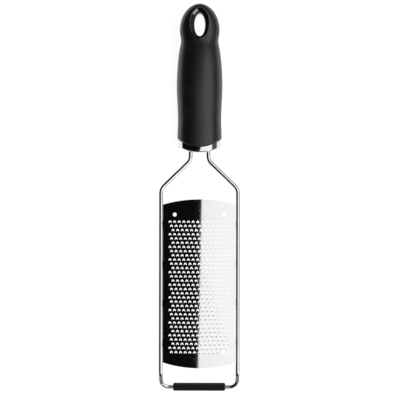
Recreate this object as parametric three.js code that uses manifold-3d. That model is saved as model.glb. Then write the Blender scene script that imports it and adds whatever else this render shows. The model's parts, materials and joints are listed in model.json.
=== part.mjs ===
// A fine hand grater: an etched, arched steel blade welded between the legs of a bent wire frame,
// a soft grip over a rigid core that holds the wire's two tangs, and a rubber sleeve on the wire's
// end bar as its foot.
// Millimetres. The grater is built straight: X across it, Y from the sole of the foot towards the
// handle, Z out of the cutting face, and the wire's axis in the plane Z = 0. The toe of the frame is
// turned down with the foot on it, and the grater is laid on its back on a table, Z up, with the
// origin under the middle of its outline.

import * as THREE from "three";
import { mergeVertices } from "three/addons/utils/BufferGeometryUtils.js";
import Module from "manifold-3d";

// Clearance between pieces that fit together, and how far a cut runs past what it cuts
const FIT_GAP = 0.1;
const CUT_OVERRUN = 2;

// Wire frame
const ROD_DIAMETER = 4;
const FRAME_WIDTH = 66.4; // over the outsides of the legs
const TANG_SPACING = 14.5; // between the axes of the tangs
const LEG_LENGTH = 162.42; // from the axis of the bar to the corner of the shoulder
const SHOULDER_ANGLE = 46; // degrees that the shoulder leans in from the leg
const NECK_LENGTH = 2.65; // of straight wire between the neck's bend and the collar
const TANG_DEPTH = 58; // of wire inside the handle
const BAR_BEND_RADIUS = 6.6;
const SHOULDER_BEND_RADIUS = 9;
const NECK_BEND_RADIUS = 8;
const BEND_STEP = 18; // degrees of bend between two sections of the wire
const ROD_SIDES = 10;

// Toe: the end of the frame, turned down below the blade so that the grater stands on its foot
const TOE_LENGTH = 14.16; // from the start of its bend to the axis of the bar
const TOE_ANGLE = 25; // degrees
const TOE_BEND_RADIUS = 8;
const TOE_STEPS = 2;

// Foot
const FOOT_END_GAP = 3.4; // of bare bar between the foot and each bend
const SOLE_THICKNESS = 0.9; // of rubber outside the bar
const FOOT_INNER_WALL = 0.9; // of rubber on the blade's side of the bar
const FOOT_SIDE_WALL = 1; // of rubber in front of the bar and behind it
const FOOT_EDGE_RADIUS = 2.1;
const FOOT_END_ROUNDING = 1.1;
const FOOT_EDGE_STEPS = 2;

// Blade
const BLADE_THICKNESS = 0.4;
const BLADE_SEAT = 1.6; // of the long edges above the wire's axis
const BLADE_RISE = 4.5; // of the crown above the long edges
const WELD_ROOT_GAP = 0.15; // between a long edge and its leg
const BLADE_LOWER_GAP = 15.02; // of straight leg below the blade's corners
const BLADE_UPPER_GAP = 8.95; // of straight leg above the blade's corners
const LOWER_EDGE_BOW = 4.2;
const UPPER_EDGE_BOW = 4.25;
const EDGE_STEPS = 8;

// Teeth: arched openings, each with a pointed tongue that rises from its lower edge
const OPENING_WIDTH = 2.4;
const OPENING_HEIGHT = 2;
const CROWN_WIDTH = 1.5; // of the opening's upper edge
const COLUMN_LAND = 1.38; // of sheet between neighbours in a row
const ROW_LAND = 1.404; // of sheet between two rows
const STAGGER_ROWS = 3; // rows until the columns line up again
const TONGUE_LENGTH = 1.15;
const TONGUE_ANGLE = 38; // degrees out of the sheet
const FIELD_SIDE_MARGIN = 5.6; // at least, from the outermost teeth's middles to the long edges
const FIELD_LOWER_MARGIN = 8.63; // from the blade's lower corners to the lowest row
const FIELD_UPPER_MARGIN = 13.5; // at least, from the top row to the blade's upper corners

// Round holes that located the blank while it was etched: two above the teeth, one in the lowest row
const INDEX_HOLE_DIAMETER = 3.2;
const INDEX_HOLE_MARGIN = 9.98; // from its middle to the long edge
const INDEX_HOLE_RISE = 7; // above the top row
const INDEX_HOLE_LAND = 0.6; // of sheet kept between a hole and its neighbours

// Weld beads under the long edges of the blade
const WELDS_PER_LEG = 4;
const WELD_LENGTH = 6;
const WELD_LEG = 1.3; // along the blade and along the wire
const WELD_CROWN = 0.25;
const WELD_STEPS = 2;

// Collar, and its curved joint with the grip
const COLLAR_STEP = 0.7; // that the grip stands proud of it
const COLLAR_BOW = 4.1; // of its underside, from the middle up to the sides
const COLLAR_EDGE_RADIUS = 1.2;
const COLLAR_FLOOR_WALL = 0.3; // between the sides of the underside and the seat of the core
const JOINT_SEAT = 0.3; // of the joint's lowest point above that seat
const JOINT_BOW = 6.7; // of the joint, from the middle up to the sides
const COLLAR_FLOOR_RINGS = 3;
const COLLAR_EDGE_STEPS = 2;
const JOINT_STEPS = 8;

// Barrel of the handle: full widths and depths, each section's rise above the one before
const END_WIDTH = 36.1;
const END_DEPTH = 27.6;
const WAIST_RISE = 15.8;
const WAIST_WIDTH = 35.2;
const WAIST_DEPTH = 27.6;
const BELLY_RISE = 29.3;
const BELLY_WIDTH = 37.2;
const BELLY_DEPTH = 30;
const TAPER_RISE = 20.9;
const TAPER_WIDTH = 34.6;
const TAPER_DEPTH = 26.5;
const NOTCH_RISE = 14.2; // where the head grows out of the barrel
const SECTION_POWER = 2.3; // how square the cross-section is
const GRIP_WALL = 2.5;
const HANDLE_SIDES = 20;
const SKIN_STEPS = { barrel: 8, head: 6 };
const CORE_STEPS = { barrel: 4, head: 4 };

// Hanging hole, its liner, and the head round them
const HOLE_WIDTH = 7.9; // at its waist
const HOLE_HEIGHT = 17.8;
const HOLE_SIDE_FLARE = 2.95; // from the waist out to the rim
const HOLE_END_FLARE = 2.9;
const FLARE_POWER = 3; // how late it flares
const HOLE_RISE = 3.8; // of its middle above the widest part of the head
const RIM_RISE = 1.5; // of the rim's middle above the waist's
const LINER_WALL = 1.2;
const LINER_PROUD = 0.3;
const RIM_SETBACK = 0.8; // of the rim's level below the face of the head
const FLARE_STEPS = 6;
const HOLE_SIDES = 16;
const HEAD_SIDE_LAND = 8.05; // of grip outside the liner
const HEAD_TOP_LAND = 3.1;
const HEAD_DEPTH = 20;
const HEAD_EDGE_POWER = 4; // how square the head's edge is, seen from the side
const NOTCH_DROP = 8.1; // from the widest part of the head down to the notch

// Sockets for the tangs
const SOCKET_RUNOUT = 1; // beyond the end of the tang
const BORE_SIDES = 12;

// Places that follow from the sizes
const rodRadius = ROD_DIAMETER / 2;
const barAxis = SOLE_THICKNESS + rodRadius;
const legAxis = FRAME_WIDTH / 2 - rodRadius;
const tangAxis = TANG_SPACING / 2;
const toeTurn = THREE.MathUtils.degToRad(TOE_ANGLE);
const toeStart = barAxis + TOE_LENGTH;
const shoulderTurn = THREE.MathUtils.degToRad(SHOULDER_ANGLE);
const shoulderCorner = barAxis + LEG_LENGTH;
const neckCorner = shoulderCorner + (legAxis - tangAxis) / Math.tan(shoulderTurn);
const collarTip = neckCorner + NECK_BEND_RADIUS * Math.tan(shoulderTurn / 2) + NECK_LENGTH;
const collarFloor = collarTip + COLLAR_BOW + COLLAR_FLOOR_WALL;
const jointMiddle = collarFloor + JOINT_SEAT;
const jointSides = jointMiddle + JOINT_BOW;
const legTop = shoulderCorner - SHOULDER_BEND_RADIUS * Math.tan(shoulderTurn / 2);
const bladeLowerCorner = barAxis + BAR_BEND_RADIUS + BLADE_LOWER_GAP;
const bladeUpperCorner = legTop - BLADE_UPPER_GAP;
const bladeEdgeReach = Math.sqrt((rodRadius + WELD_ROOT_GAP) ** 2 - (BLADE_SEAT - BLADE_THICKNESS / 2) ** 2);
const bladeHalfChord = legAxis - bladeEdgeReach;
const archRadius = (bladeHalfChord ** 2 + BLADE_RISE ** 2) / (2 * BLADE_RISE);
const blankHalfWidth = archRadius * Math.asin(bladeHalfChord / archRadius);
const waistLevel = jointSides + WAIST_RISE;
const bellyLevel = waistLevel + BELLY_RISE;
const taperLevel = bellyLevel + TAPER_RISE;
const headMiddle = taperLevel + NOTCH_RISE + NOTCH_DROP;
const holeMiddle = headMiddle + HOLE_RISE;

const wasm = await Module();
wasm.setup();

// A closed geometry from points and triangles, turned so that its faces point out.
function closedGeometry(points, triangles) {
  const normal = new THREE.Vector3();
  let volume = 0;
  for (const [a, b, c] of triangles) {
    volume += normal.crossVectors(points[b], points[c]).dot(points[a]);
  }
  const outward = volume > 0 ? triangles : triangles.map(([a, b, c]) => [a, c, b]);
  return new THREE.BufferGeometry().setFromPoints(points).setIndex(outward.flat());
}

// A body through rings of points, closed by a fan to a point at each end.
function loft(rings, startPoint, endPoint) {
  const sides = rings[0].length;
  const points = [startPoint, ...rings.flat(), endPoint];
  const last = points.length - 1;
  const triangles = [];
  for (let side = 0; side < sides; side++) {
    const next = (side + 1) % sides;
    triangles.push([0, 1 + next, 1 + side]);
    triangles.push([last, last - sides + side, last - sides + next]);
    for (let ring = 1; ring < last - sides; ring += sides) {
      triangles.push([ring + side, ring + next, ring + sides + next]);
      triangles.push([ring + side, ring + sides + next, ring + sides + side]);
    }
  }
  return closedGeometry(points, triangles);
}

// A solid to cut with, and a cut solid's geometry.
function toSolid(geometry) {
  const bare = new THREE.BufferGeometry();
  bare.setAttribute("position", geometry.getAttribute("position"));
  bare.setIndex(geometry.getIndex());
  const merged = mergeVertices(bare);
  const vertProperties = new Float32Array(merged.getAttribute("position").array);
  const triVerts = new Uint32Array(merged.getIndex().array);
  return new wasm.Manifold(new wasm.Mesh({ numProp: 3, vertProperties, triVerts }));
}

function toGeometry(solid) {
  const { vertProperties, triVerts } = solid.getMesh();
  const geometry = new THREE.BufferGeometry();
  geometry.setAttribute("position", new THREE.BufferAttribute(vertProperties, 3));
  geometry.setIndex(new THREE.BufferAttribute(triVerts, 1));
  return geometry;
}

// A bore along Y, its flats touching the circle so that a rod of that radius clears them.
function bore(radius, length) {
  const corner = radius / Math.cos(Math.PI / BORE_SIDES);
  return new THREE.CylinderGeometry(corner, corner, length, BORE_SIDES);
}

// The toe of the straight grater, turned down round its bend.
function turnedDown(geometry) {
  const place = geometry.getAttribute("position");
  for (let index = 0; index < place.count; index++) {
    const past = Math.max(0, toeStart - place.getY(index));
    const turn = Math.min(past / TOE_BEND_RADIUS, toeTurn);
    const beyond = past - turn * TOE_BEND_RADIUS;
    const radius = TOE_BEND_RADIUS + place.getZ(index);
    const along = radius * Math.sin(turn) + beyond * Math.cos(turn);
    const down = TOE_BEND_RADIUS - radius * Math.cos(turn) + beyond * Math.sin(turn);
    place.setY(index, place.getY(index) + past - along);
    place.setZ(index, -down);
  }
  return geometry;
}

// Wire frame: the axis of the wire from tang to tang, as corners with a bend at each.
function wireCorners() {
  const toeSections = Array.from({ length: TOE_STEPS + 1 }, (_, step) => {
    const level = toeStart - (step / TOE_STEPS) * toeTurn * TOE_BEND_RADIUS;
    return { at: new THREE.Vector2(legAxis, level), bend: 0 };
  });
  const half = [
    { at: new THREE.Vector2(tangAxis, collarTip + TANG_DEPTH), bend: 0 },
    { at: new THREE.Vector2(tangAxis, neckCorner), bend: NECK_BEND_RADIUS },
    { at: new THREE.Vector2(legAxis, shoulderCorner), bend: SHOULDER_BEND_RADIUS },
    ...toeSections,
    { at: new THREE.Vector2(legAxis, barAxis), bend: BAR_BEND_RADIUS },
  ];
  const mirrored = half.map(({ at, bend }) => ({ at: new THREE.Vector2(-at.x, at.y), bend }));
  return [...half, ...mirrored.reverse()];
}

// Stations along the wire: a point and a heading at each plain corner and at every step of a bend.
function wireStations(corners) {
  const stations = [];
  const heading = (from, to) => to.at.clone().sub(from.at).normalize();
  corners.forEach((corner, index) => {
    const before = corners[index - 1];
    const after = corners[index + 1];
    if (corner.bend === 0) {
      const ahead = before ? heading(before, corner) : heading(corner, after);
      stations.push({ at: corner.at, ahead });
      return;
    }
    const inward = heading(before, corner);
    const turn = Math.atan2(inward.cross(heading(corner, after)), inward.dot(heading(corner, after)));
    const reach = corner.bend * Math.tan(Math.abs(turn) / 2);
    const start = corner.at.clone().addScaledVector(inward, -reach);
    const side = new THREE.Vector2(-inward.y, inward.x).multiplyScalar(Math.sign(turn));
    const centre = start.clone().addScaledVector(side, corner.bend);
    const steps = Math.ceil(Math.abs(THREE.MathUtils.radToDeg(turn)) / BEND_STEP);
    for (let step = 0; step <= steps; step++) {
      const angle = (turn * step) / steps;
      const at = start.clone().rotateAround(centre, angle);
      const ahead = inward.clone().rotateAround(new THREE.Vector2(), angle);
      stations.push({ at, ahead });
    }
  });
  return stations;
}

function rodGeometry() {
  const stations = wireStations(wireCorners());
  const rings = stations.map(({ at, ahead }) =>
    Array.from({ length: ROD_SIDES }, (_, side) => {
      const angle = (2 * Math.PI * side) / ROD_SIDES;
      const out = rodRadius * Math.cos(angle);
      return new THREE.Vector3(at.x + ahead.y * out, at.y - ahead.x * out, rodRadius * Math.sin(angle));
    }),
  );
  const end = ({ at }) => new THREE.Vector3(at.x, at.y, 0);
  return turnedDown(loft(rings, end(stations[0]), end(stations[stations.length - 1])));
}

// Foot: a rounded sleeve with a flat sole, slipped over the bar.
function footGeometry() {
  const length = 2 * (legAxis - BAR_BEND_RADIUS - FOOT_END_GAP);
  const height = barAxis + rodRadius + FOOT_INNER_WALL;
  const radius = FOOT_EDGE_RADIUS;
  const reach = rodRadius + FOOT_SIDE_WALL - radius;
  const section = new THREE.Shape();
  section.absarc(reach, radius, radius, -Math.PI / 2, 0);
  section.absarc(reach, height - radius, radius, 0, Math.PI / 2);
  section.absarc(-reach, height - radius, radius, Math.PI / 2, Math.PI);
  section.absarc(-reach, radius, radius, Math.PI, 1.5 * Math.PI);
  const sleeve = new THREE.ExtrudeGeometry(section, {
    depth: length - 2 * FOOT_END_ROUNDING,
    curveSegments: FOOT_EDGE_STEPS,
    bevelThickness: FOOT_END_ROUNDING,
    bevelSize: FOOT_END_ROUNDING,
    bevelOffset: -FOOT_END_ROUNDING,
    bevelSegments: 1,
  });
  sleeve.translate(0, 0, FOOT_END_ROUNDING - length / 2).rotateY(Math.PI / 2);
  const barBore = bore(rodRadius + FIT_GAP, length + 2 * CUT_OVERRUN);
  barBore.rotateZ(Math.PI / 2).translate(0, barAxis, 0);
  return turnedDown(toGeometry(toSolid(sleeve).subtract(toSolid(barBore))));
}

// The rolled sheet at a place on its flat blank: u across from the middle, and out from mid-sheet.
function onArch(u, v, out) {
  const angle = u / archRadius;
  const radius = archRadius + out;
  const arcMiddle = BLADE_SEAT + BLADE_RISE - archRadius;
  return new THREE.Vector3(radius * Math.sin(angle), v, arcMiddle + radius * Math.cos(angle));
}

// Blade: a net of points on the flat blank, filled with triangles, rolled and given its thickness.
function bladeGeometry() {
  const net = [];
  const faces = [];
  const point = (u, v, lift = 0) => net.push({ u, v, lift }) - 1;
  const distance = (a, b) => Math.hypot(net[a].u - net[b].u, net[a].v - net[b].v);

  // Fills the strip between two chains of points that run the same way.
  function fill(right, left) {
    let i = 0;
    let j = 0;
    while (i < right.length - 1 || j < left.length - 1) {
      const stepRight = i < right.length - 1 ? distance(right[i + 1], left[j]) : Infinity;
      const stepLeft = j < left.length - 1 ? distance(right[i], left[j + 1]) : Infinity;
      if (stepRight < stepLeft) {
        faces.push([right[i], right[i + 1], left[j]]);
        i += 1;
      } else {
        faces.push([right[i], left[j + 1], left[j]]);
        j += 1;
      }
    }
  }

  function tooth(u, v) {
    const base = v - OPENING_HEIGHT / 2;
    const slope = THREE.MathUtils.degToRad(TONGUE_ANGLE);
    const [a, e] = [-1, 1].map((side) => point(u + (side * OPENING_WIDTH) / 2, base));
    const [b, d] = [-1, 1].map((side) => point(u + (side * CROWN_WIDTH) / 2, base + OPENING_HEIGHT));
    const tip = point(u, base + TONGUE_LENGTH * Math.cos(slope), TONGUE_LENGTH * Math.sin(slope));
    faces.push([a, e, tip]);
    return { lower: [a, e], upper: [b, d], left: [a, b], right: [e, d] };
  }

  // An octagon, its corners named anticlockwise from the left end of its lowest side.
  function indexHole(u, v) {
    const radius = INDEX_HOLE_DIAMETER / 2;
    const [a, b, c, d, e, f, g, h] = Array.from({ length: 8 }, (_, corner) => {
      const angle = (corner - 2.5) * (Math.PI / 4);
      return point(u + radius * Math.cos(angle), v + radius * Math.sin(angle));
    });
    return { lower: [a, b], upper: [f, e], left: [a, h, g, f], right: [b, c, d, e] };
  }

  // A point of plain sheet, which keeps the arch true where a row has no opening.
  function plain(u, v) {
    const only = [point(u, v)];
    return { lower: only, upper: only, left: only, right: only };
  }

  // One row of openings between the two long edges, given from left to right.
  function row(v, openings) {
    const across = [plain(-blankHalfWidth, v), ...openings, plain(blankHalfWidth, v)];
    across.slice(1).forEach((next, index) => fill(next.left, across[index].right));
    return {
      lower: across.flatMap((opening) => opening.lower),
      upper: across.flatMap((opening) => opening.upper),
    };
  }

  function bowedEdge(corner, bow) {
    return Array.from({ length: EDGE_STEPS + 1 }, (_, step) => {
      const share = (2 * step) / EDGE_STEPS - 1;
      return point(share * blankHalfWidth, corner + bow * (1 - share ** 2));
    });
  }

  const rowPitch = OPENING_HEIGHT + ROW_LAND;
  const columnPitch = OPENING_WIDTH + COLUMN_LAND;
  const lowestRow = bladeLowerCorner + FIELD_LOWER_MARGIN;
  const fieldLength = bladeUpperCorner - FIELD_UPPER_MARGIN - lowestRow;
  const rowCount = Math.floor(fieldLength / rowPitch) + 1;
  const stagger = columnPitch / STAGGER_ROWS;
  const fieldHalfWidth = blankHalfWidth - FIELD_SIDE_MARGIN - (stagger * (STAGGER_ROWS - 1)) / 2;
  const columnsEachSide = Math.floor(fieldHalfWidth / columnPitch);
  const columns = Array.from(
    { length: 2 * columnsEachSide + 1 },
    (_, column) => (column - columnsEachSide) * columnPitch,
  );
  const indexPlaces = [-1, 1].map((side) => side * (blankHalfWidth - INDEX_HOLE_MARGIN));
  const clearOf = (u, place, halfWidth) =>
    Math.abs(u - place) > INDEX_HOLE_DIAMETER / 2 + halfWidth + INDEX_HOLE_LAND;

  const rows = [];
  for (let index = 0; index < rowCount; index++) {
    const v = lowestRow + index * rowPitch;
    const fromTop = rowCount - 1 - index;
    const shift = ((fromTop % STAGGER_ROWS) - (STAGGER_ROWS - 1) / 2) * stagger;
    const hole = index === 0 ? indexPlaces[1] : Infinity;
    const inRow = columns.map((u) => u + shift).filter((u) => clearOf(u, hole, OPENING_WIDTH / 2));
    const places = index === 0 ? [...inRow, hole].sort((a, b) => a - b) : inRow;
    const openings = places.map((u) => (u === hole ? indexHole(u, v) : tooth(u, v)));
    rows.push(row(v, openings));
  }

  const indexRow = lowestRow + (rowCount - 1) * rowPitch + INDEX_HOLE_RISE;
  const plainPlaces = columns.filter((u) => indexPlaces.every((place) => clearOf(u, place, 0)));
  const upperPlaces = [...plainPlaces, ...indexPlaces].sort((a, b) => a - b);
  const upperOpenings = upperPlaces.map((u) => (indexPlaces.includes(u) ? indexHole : plain)(u, indexRow));
  rows.push(row(indexRow, upperOpenings));

  fill(bowedEdge(bladeLowerCorner, -LOWER_EDGE_BOW), rows[0].lower);
  rows.slice(1).forEach((above, index) => fill(rows[index].upper, above.lower));
  fill(rows[rows.length - 1].upper, bowedEdge(bladeUpperCorner, UPPER_EDGE_BOW));

  const edges = new Set(faces.flatMap(([a, b, c]) => [`${a} ${b}`, `${b} ${c}`, `${c} ${a}`]));
  const count = net.length;
  const triangles = faces.flatMap(([a, b, c]) => [[a, b, c], [c + count, b + count, a + count]]);
  for (const edge of edges) {
    const [a, b] = edge.split(" ").map(Number);
    if (!edges.has(`${b} ${a}`)) triangles.push([b, a, a + count], [b, a + count, b + count]);
  }
  const faceAt = (side) => net.map(({ u, v, lift }) => onArch(u, v, lift + (side * BLADE_THICKNESS) / 2));
  return closedGeometry([...faceAt(1), ...faceAt(-1)], triangles);
}

// Weld bead: a fillet under the blade's edge, against the inner flank of the leg.
function weldGeometry(side) {
  const under = (u) => onArch(u, 0, -BLADE_THICKNESS / 2 - FIT_GAP);
  const toe = under(blankHalfWidth - WELD_LEG);
  const root = under(blankHalfWidth);
  const radius = rodRadius + FIT_GAP;
  const firstAngle = Math.asin(-root.z / radius);
  const lastAngle = firstAngle + WELD_LEG / radius;
  const onWire = (angle) =>
    new THREE.Vector2(side * (legAxis - radius * Math.cos(angle)), -radius * Math.sin(angle));
  const wireToe = onWire(lastAngle);
  const bladeToe = new THREE.Vector2(side * toe.x, toe.z);
  const across = wireToe.clone().sub(bladeToe).normalize();
  const away = new THREE.Vector2(across.y, -across.x).multiplyScalar(side);
  const crown = bladeToe.clone().lerp(wireToe, 0.5).addScaledVector(away, 2 * WELD_CROWN);
  const section = new THREE.Shape();
  section.moveTo(bladeToe.x, bladeToe.y);
  section.lineTo(side * root.x, root.z);
  for (const angle of [firstAngle, (firstAngle + lastAngle) / 2, lastAngle]) {
    section.lineTo(onWire(angle).x, onWire(angle).y);
  }
  section.quadraticCurveTo(crown.x, crown.y, bladeToe.x, bladeToe.y);
  return new THREE.ExtrudeGeometry(section, {
    depth: WELD_LENGTH,
    curveSegments: WELD_STEPS,
    bevelEnabled: false,
  });
}

// Handle: cross-sections from the collar's end to the tip of the head, drawn in by an inset.
const rimHalf = new THREE.Vector2(HOLE_WIDTH / 2 + HOLE_SIDE_FLARE, HOLE_HEIGHT / 2 + HOLE_END_FLARE);
const headHalf = new THREE.Vector3(
  rimHalf.x + LINER_WALL + HEAD_SIDE_LAND,
  HOLE_RISE + RIM_RISE + rimHalf.y + LINER_WALL + HEAD_TOP_LAND,
  HEAD_DEPTH / 2,
);

function headSection(angle, inset) {
  const half = headHalf.clone().subScalar(inset);
  const edge = (1 - Math.abs(Math.sin(angle)) ** HEAD_EDGE_POWER) ** (1 / HEAD_EDGE_POWER);
  return new THREE.Vector3(half.x * Math.cos(angle), headMiddle + half.y * Math.sin(angle), half.z * edge);
}

const notchAngle = -Math.asin(NOTCH_DROP / headHalf.y);
const barrel = new THREE.CatmullRomCurve3([
  new THREE.Vector3(END_WIDTH / 2, jointSides, END_DEPTH / 2),
  new THREE.Vector3(WAIST_WIDTH / 2, waistLevel, WAIST_DEPTH / 2),
  new THREE.Vector3(BELLY_WIDTH / 2, bellyLevel, BELLY_DEPTH / 2),
  new THREE.Vector3(TAPER_WIDTH / 2, taperLevel, TAPER_DEPTH / 2),
  headSection(notchAngle, 0),
]);

function sectionRing({ x, y, z }) {
  const rounded = (value) => Math.sign(value) * Math.abs(value) ** (2 / SECTION_POWER);
  return Array.from({ length: HANDLE_SIDES }, (_, side) => {
    const angle = (2 * Math.PI * side) / HANDLE_SIDES;
    return new THREE.Vector3(x * rounded(Math.cos(angle)), y, z * rounded(Math.sin(angle)));
  });
}

// The handle's body from a level upwards, the end section carried straight down to that level.
function handleBody(inset, from, steps) {
  const sections = [];
  for (let step = 0; step < steps.barrel; step++) {
    const { x, y, z } = barrel.getPoint(step / steps.barrel);
    sections.push(new THREE.Vector3(x - inset, y, z - inset));
  }
  for (let step = 0; step < steps.head; step++) {
    const angle = THREE.MathUtils.lerp(notchAngle, Math.PI / 2, step / steps.head);
    sections.push(headSection(angle, inset));
  }
  sections.unshift(sections[0].clone().setY(from));
  const top = new THREE.Vector3(0, headMiddle + headHalf.y - inset, 0);
  return toSolid(loft(sections.map(sectionRing), new THREE.Vector3(0, from, 0), top));
}

// Everything below the curved joint of grip and collar, lowered by a drop.
function belowJoint(drop) {
  const reach = END_WIDTH / 2;
  const side = reach + CUT_OVERRUN;
  const floor = collarTip - CUT_OVERRUN;
  const profile = new THREE.Shape();
  profile.moveTo(-reach, jointSides - drop);
  profile.quadraticCurveTo(0, 2 * jointMiddle - jointSides - drop, reach, jointSides - drop);
  profile.lineTo(side, jointSides - drop);
  profile.lineTo(side, floor);
  profile.lineTo(-side, floor);
  profile.lineTo(-side, jointSides - drop);
  const depth = END_DEPTH + 2 * CUT_OVERRUN;
  const options = { depth, curveSegments: JOINT_STEPS, bevelEnabled: false };
  const cutter = new THREE.ExtrudeGeometry(profile, options);
  return toSolid(cutter.translate(0, 0, -depth / 2));
}

// The hanging hole, which flares from its waist to both faces, widened all round by an outset.
function hangHole(outset) {
  const rimLevel = headHalf.z - RIM_SETBACK;
  const waist = new THREE.Vector2(HOLE_WIDTH / 2, HOLE_HEIGHT / 2);
  const rings = Array.from({ length: FLARE_STEPS + 1 }, (_, step) => {
    const z = (headHalf.z + CUT_OVERRUN) * ((2 * step) / FLARE_STEPS - 1);
    const flare = Math.abs(z / rimLevel) ** FLARE_POWER;
    const half = waist.clone().lerp(rimHalf, flare).addScalar(outset);
    const middle = holeMiddle + RIM_RISE * flare;
    return Array.from({ length: HOLE_SIDES }, (_, side) => {
      const angle = (2 * Math.PI * side) / HOLE_SIDES;
      return new THREE.Vector3(half.x * Math.cos(angle), middle + half.y * Math.sin(angle), z);
    });
  });
  const centre = (ring) => new THREE.Vector3(0, holeMiddle, ring[0].z);
  return toSolid(loft(rings, centre(rings[0]), centre(rings[FLARE_STEPS])));
}

// A bore round each tang, between two levels.
function tangBores(from, to) {
  const [left, right] = [-1, 1].map((side) =>
    toSolid(bore(rodRadius + FIT_GAP, to - from).translate(side * tangAxis, (from + to) / 2, 0)),
  );
  return left.add(right);
}

const linerSeat = hangHole(LINER_WALL + FIT_GAP);

function gripGeometry() {
  const cavity = handleBody(GRIP_WALL, collarTip - CUT_OVERRUN, CORE_STEPS);
  const skin = handleBody(0, collarTip, SKIN_STEPS).subtract(cavity);
  return toGeometry(skin.subtract(linerSeat).subtract(belowJoint(0)));
}

function coreGeometry() {
  const body = handleBody(GRIP_WALL + FIT_GAP, collarFloor + FIT_GAP, CORE_STEPS);
  const sockets = tangBores(collarFloor - CUT_OVERRUN, collarTip + TANG_DEPTH + SOCKET_RUNOUT);
  return toGeometry(body.subtract(linerSeat).subtract(sockets));
}

function linerGeometry() {
  const lipFace = handleBody(-LINER_PROUD, collarTip, SKIN_STEPS);
  return toGeometry(hangHole(LINER_WALL).subtract(hangHole(0)).intersect(lipFace));
}

// Collar: a polished end cap whose underside is bowed across and rounded into its wall.
function collarGeometry() {
  const half = new THREE.Vector3(END_WIDTH / 2 - COLLAR_STEP, 0, END_DEPTH / 2 - COLLAR_STEP);
  const floorHalf = half.clone().subScalar(COLLAR_EDGE_RADIUS);
  const bowedRing = (size, rise) =>
    sectionRing(size).map((point) => point.setY(collarTip + rise + COLLAR_BOW * (point.x / half.x) ** 2));
  const rings = [];
  for (let ring = 1; ring < COLLAR_FLOOR_RINGS; ring++) {
    rings.push(bowedRing(floorHalf.clone().multiplyScalar(ring / COLLAR_FLOOR_RINGS), 0));
  }
  for (let step = 0; step <= COLLAR_EDGE_STEPS; step++) {
    const angle = (Math.PI / 2) * (step / COLLAR_EDGE_STEPS);
    const size = floorHalf.clone().addScalar(COLLAR_EDGE_RADIUS * Math.sin(angle));
    rings.push(bowedRing(size, COLLAR_EDGE_RADIUS * (1 - Math.cos(angle))));
  }
  rings.push(sectionRing(half.clone().setY(jointSides)));
  const tip = new THREE.Vector3(0, collarTip, 0);
  const body = toSolid(loft(rings, tip, new THREE.Vector3(0, jointSides, 0)));
  const seat = handleBody(GRIP_WALL, collarFloor, CORE_STEPS);
  const bores = tangBores(collarTip - CUT_OVERRUN, jointSides);
  return toGeometry(body.intersect(belowJoint(FIT_GAP)).subtract(seat).subtract(bores));
}

// Finishes
function steel(roughness) {
  return new THREE.MeshStandardMaterial({ color: 0xc9cbcd, roughness, metalness: 1 });
}

function blackPlastic(color, roughness) {
  return new THREE.MeshStandardMaterial({ color, roughness, metalness: 0 });
}

// The grater, straight
const straight = new THREE.Group();

function addPiece(name, geometry, material) {
  const piece = new THREE.Mesh(geometry, material);
  piece.name = name;
  straight.add(piece);
  return piece;
}

addPiece("frame_rod", rodGeometry(), steel(0.2));
addPiece("blade", bladeGeometry(), steel(0.16));
addPiece("handle_core", coreGeometry(), blackPlastic(0x232326, 0.5));
addPiece("collar", collarGeometry(), steel(0.1));
addPiece("hang_hole_liner", linerGeometry(), blackPlastic(0x0b0b0c, 0.14));
const grip = addPiece("grip", gripGeometry(), blackPlastic(0x1c1c1e, 0.62));
const foot = addPiece("foot", footGeometry(), blackPlastic(0x161617, 0.8));

for (const [sideName, side] of [["left", -1], ["right", 1]]) {
  for (let index = 0; index < WELDS_PER_LEG; index++) {
    const bead = addPiece(`weld_${sideName}_${index + 1}`, weldGeometry(side), steel(0.4));
    bead.rotation.x = Math.PI / 2;
    const middle = THREE.MathUtils.lerp(bladeLowerCorner, bladeUpperCorner, (index + 0.5) / WELDS_PER_LEG);
    bead.position.y = middle + WELD_LENGTH / 2;
  }
}

// At rest on its back, on the belly of the grip and the back of the foot
function lowestPoint(piece, tilt) {
  const place = piece.geometry.getAttribute("position");
  let lowest = Infinity;
  for (let index = 0; index < place.count; index++) {
    lowest = Math.min(lowest, place.getY(index) * Math.sin(tilt) + place.getZ(index) * Math.cos(tilt));
  }
  return lowest;
}

function restTilt() {
  const precision = 1e-9;
  let [low, high] = [0, Math.PI / 4];
  while (high - low > precision) {
    const middle = (low + high) / 2;
    if (lowestPoint(grip, middle) < lowestPoint(foot, middle)) low = middle;
    else high = middle;
  }
  return high;
}

straight.rotation.x = restTilt();
const outline = new THREE.Box3().setFromObject(straight, true);
straight.position.set(0, -(outline.min.y + outline.max.y) / 2, -outline.min.z);

const grater = new THREE.Group();
grater.name = "fine_grater";
grater.add(straight);

export default grater;
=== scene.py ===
# A fine hand grater on its back: a toothed steel blade on a bent wire frame, with a soft black handle.
import json
import math

import bmesh
import bpy
from mathutils import Matrix, Vector


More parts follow.
